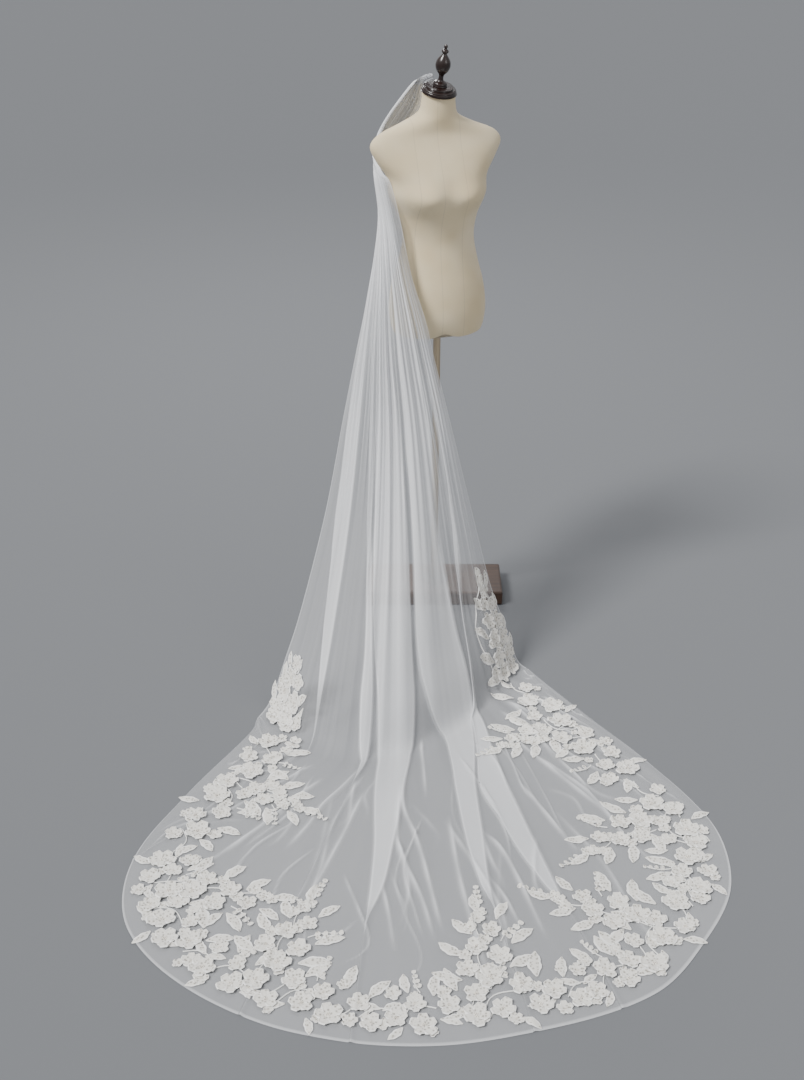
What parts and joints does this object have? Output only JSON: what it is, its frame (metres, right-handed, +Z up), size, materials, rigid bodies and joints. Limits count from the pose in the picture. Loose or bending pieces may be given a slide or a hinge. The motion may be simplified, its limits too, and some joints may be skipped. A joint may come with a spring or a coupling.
{
  "type": "bridal veil on a limbless dress form with a stand",
  "caption": "Cathedral bridal veil in sheer tulle with a floral lace border, hanging from a limbless dress form on a stand and spread in front of it as a rounded train",
  "frame": {"origin": "centre of the stand base's underside, on the floor under the pole", "axes": "+Z up the pole, -Y towards the front, where the train lies, +X to the right as seen from the front"},
  "size_m": [1.5496, 2.1161, 1.8021],
  "materials": {
    "tulle": "sheer fine nylon net, silver white",
    "lace": "warm ivory corded lace applique",
    "form_cloth": "plain cream jersey, stretched",
    "dark_wood": "dark brown gloss lacquer",
    "metal": "polished, slightly warm",
    "base_wood": "brown satin varnish"
  },
  "bodies": {
    "root": {"veil_fall": "tulle", "veil_train": "tulle", "veil_heading": "tulle", "lace_01": "lace", "lace_02": "lace", "lace_03": "lace", "lace_04": "lace", "lace_05": "lace", "lace_06": "lace", "lace_07": "lace", "lace_left_edge": "lace", "lace_right_edge": "lace", "form_torso": "form_cloth", "neck_cap": "dark_wood", "finial": "dark_wood", "pole": "metal", "pole_collar": "metal", "base_flange": "metal", "stand_base": "base_wood"}
  },
  "joints": []
}
